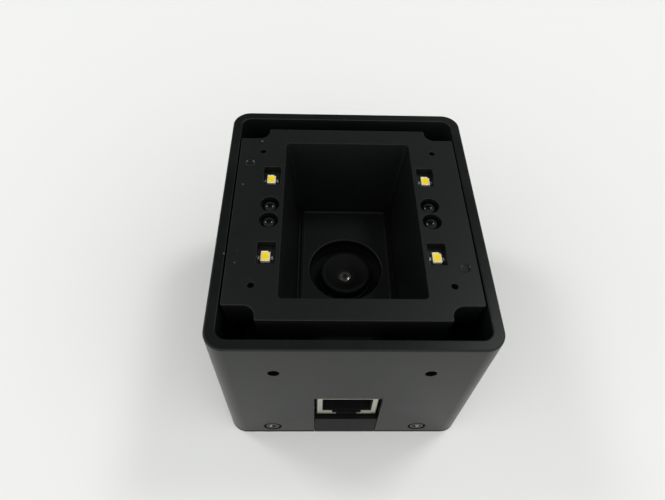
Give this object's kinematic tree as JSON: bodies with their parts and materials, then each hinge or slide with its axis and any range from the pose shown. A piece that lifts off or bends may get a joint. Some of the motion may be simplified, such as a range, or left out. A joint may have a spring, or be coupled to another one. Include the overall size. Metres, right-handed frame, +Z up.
{
  "type": "embedded barcode reader",
  "caption": "Black metal box that reads barcodes through a tapered light funnel with a camera lens at its foot, LEDs beside it and a data jack in the front wall.",
  "frame": {"origin": "middle of the base, on the surface that the reader stands on", "axes": "+Z up out of the light funnel, +Y from the jack to the back, +X to the right as seen from the jack"},
  "size_m": [0.0618, 0.072, 0.0504],
  "materials": {
    "case_black": "satin black anodised",
    "cover_black": "satin black anodised",
    "screw_steel": "dark zinc plated",
    "panel_black": "fine matte moulded black",
    "plate_black": "fine matte moulded black",
    "light_board_black": "black solder mask",
    "board_green": "green solder mask",
    "led_white": "white moulded package",
    "phosphor_yellow": "yellow silicone fill",
    "dome_black": "glossy black resin",
    "lens_black": "matte black anodised",
    "lens_glass": "coated glass",
    "holder_black": "matte moulded black",
    "chip_black": "moulded chip body",
    "socket_cream": "cream moulded connector",
    "ribbon_white": "white flat cable",
    "spacer_brass": "plain turned brass",
    "shield_bright": "bright tin plated sheet",
    "insert_black": "moulded black",
    "contact_gold": "gold plated"
  },
  "bodies": {
    "root": {"base_cover": "cover_black", "camera_board": "board_green", "camera_plug": "socket_cream", "camera_socket": "socket_cream", "camera_spacers": "spacer_brass", "cover_screws": "screw_steel", "decoder_chip": "chip_black", "housing": "case_black", "image_sensor": "chip_black", "ir_dome_left_back": "dome_black", "ir_dome_left_front": "dome_black", "ir_dome_right_back": "dome_black", "ir_dome_right_front": "dome_black", "jack_contact_1": "contact_gold", "jack_contact_2": "contact_gold", "jack_contact_3": "contact_gold", "jack_contact_4": "contact_gold", "jack_contact_5": "contact_gold", "jack_contact_6": "contact_gold", "jack_contact_7": "contact_gold", "jack_contact_8": "contact_gold", "jack_insert": "insert_black", "jack_shield": "shield_bright", "led_phosphor_left_back": "phosphor_yellow", "led_phosphor_left_front": "phosphor_yellow", "led_phosphor_right_back": "phosphor_yellow", "led_phosphor_right_front": "phosphor_yellow", "lens_barrel": "lens_black", "lens_front_glass": "lens_glass", "lens_holder": "holder_black", "lens_holder_screws": "screw_steel", "lens_plate": "plate_black", "lens_rear_glass": "lens_glass", "light_board_left": "light_board_black", "light_board_right": "light_board_black", "light_board_screws": "screw_steel", "light_panel": "panel_black", "light_socket_left": "socket_cream", "light_socket_right": "socket_cream", "main_board": "board_green", "main_board_screws": "screw_steel", "main_socket_left": "socket_cream", "main_socket_right": "socket_cream", "memory_chip": "chip_black", "ribbon_left": "ribbon_white", "ribbon_right": "ribbon_white", "sensor_glass": "lens_glass", "white_led_left_back": "led_white", "white_led_left_front": "led_white", "white_led_right_back": "led_white", "white_led_right_front": "led_white"}
  },
  "joints": []
}
